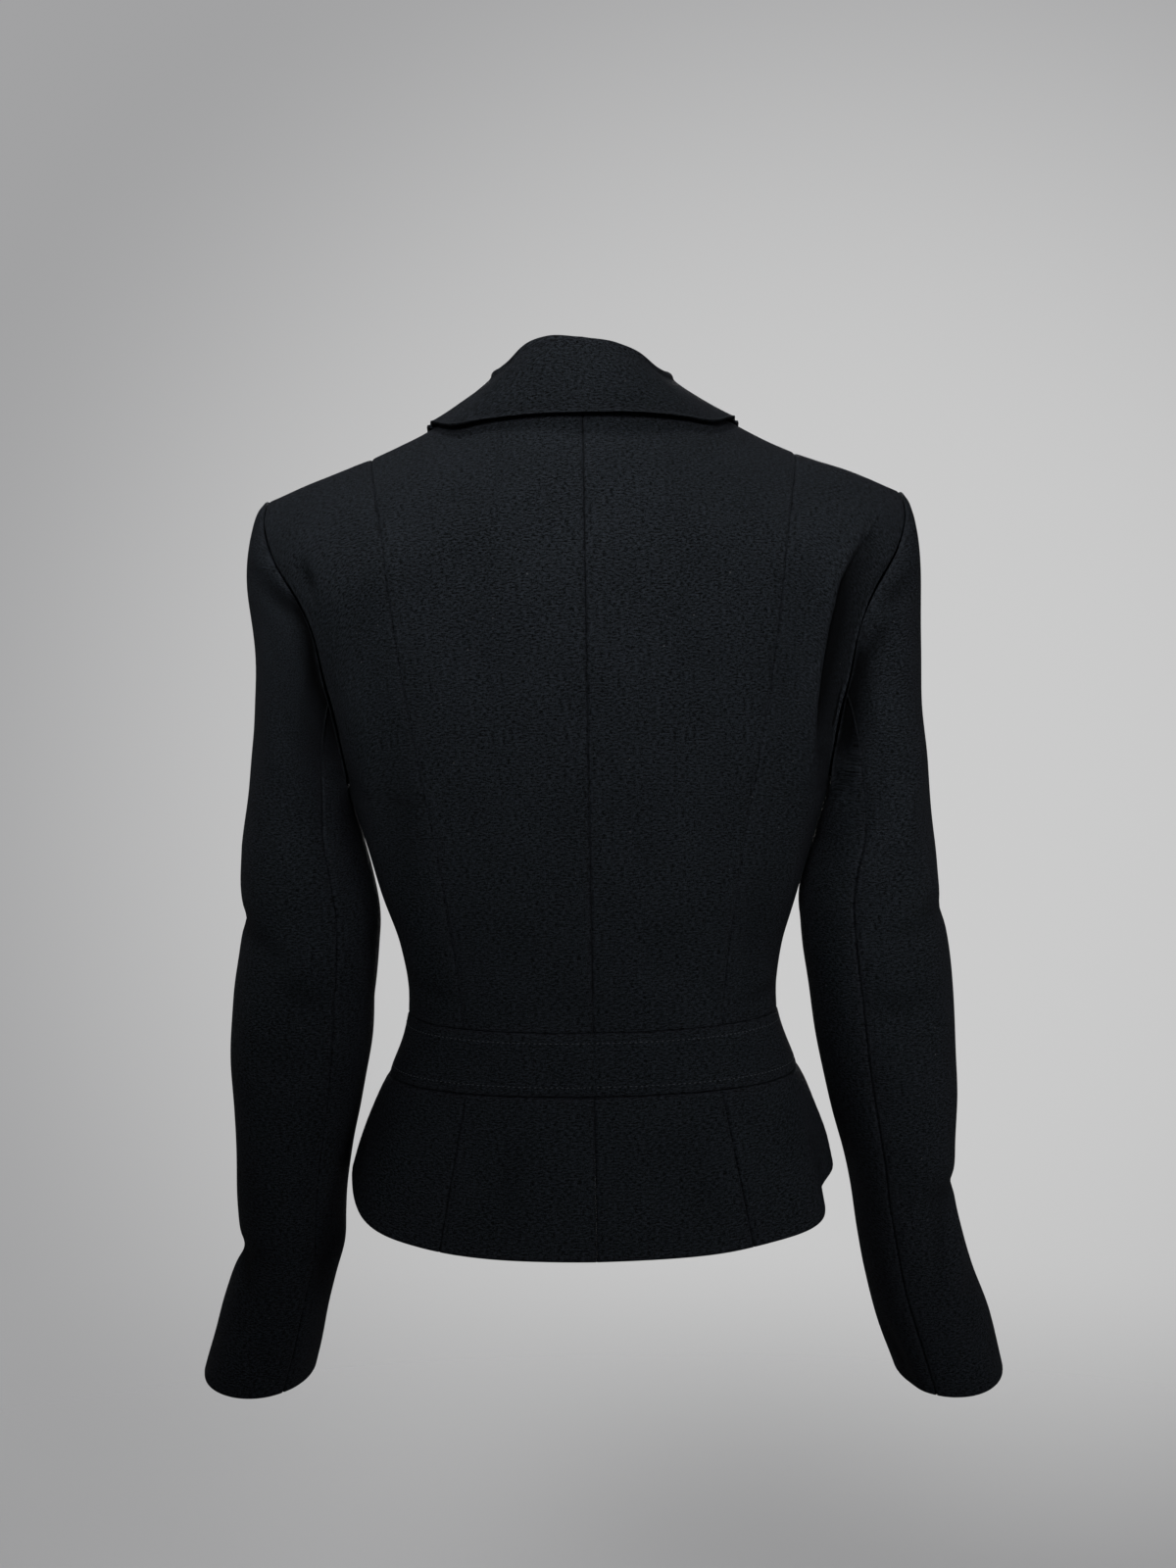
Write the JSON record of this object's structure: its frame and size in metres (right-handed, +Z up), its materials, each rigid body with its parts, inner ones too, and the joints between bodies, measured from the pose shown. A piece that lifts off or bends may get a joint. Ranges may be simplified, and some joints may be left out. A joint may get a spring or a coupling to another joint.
{
  "type": "cropped blazer",
  "caption": "Cropped waisted blazer, hollow as worn: princess-seamed back, rolled collar and lapels, waistband, short flared peplum and long set-in sleeves",
  "frame": {"origin": "centre of the neck opening, level with the neck points of the shoulder seams", "axes": "+Z up along the wearer's spine, +Y the way the wearer faces, +X the wearer's right"},
  "size_m": [0.5588, 0.2496, 0.7133],
  "materials": {
    "black_crepe": "matte crepe",
    "black_button": "satin"
  },
  "bodies": {
    "root": {"back_left": "black_crepe", "back_right": "black_crepe", "side_back_left": "black_crepe", "side_back_right": "black_crepe", "front_left": "black_crepe", "front_right": "black_crepe", "lapel_left": "black_crepe", "lapel_right": "black_crepe", "waistband_back_left": "black_crepe", "waistband_back_right": "black_crepe", "waistband_front_left": "black_crepe", "waistband_front_right": "black_crepe", "peplum_back_left": "black_crepe", "peplum_back_right": "black_crepe", "peplum_side_left": "black_crepe", "peplum_side_right": "black_crepe", "peplum_front_left": "black_crepe", "peplum_front_right": "black_crepe", "sleeve_top_left": "black_crepe", "sleeve_top_right": "black_crepe", "sleeve_under_left": "black_crepe", "sleeve_under_right": "black_crepe", "collar": "black_crepe", "button_1": "black_button", "button_2": "black_button", "button_3": "black_button"}
  },
  "joints": []
}
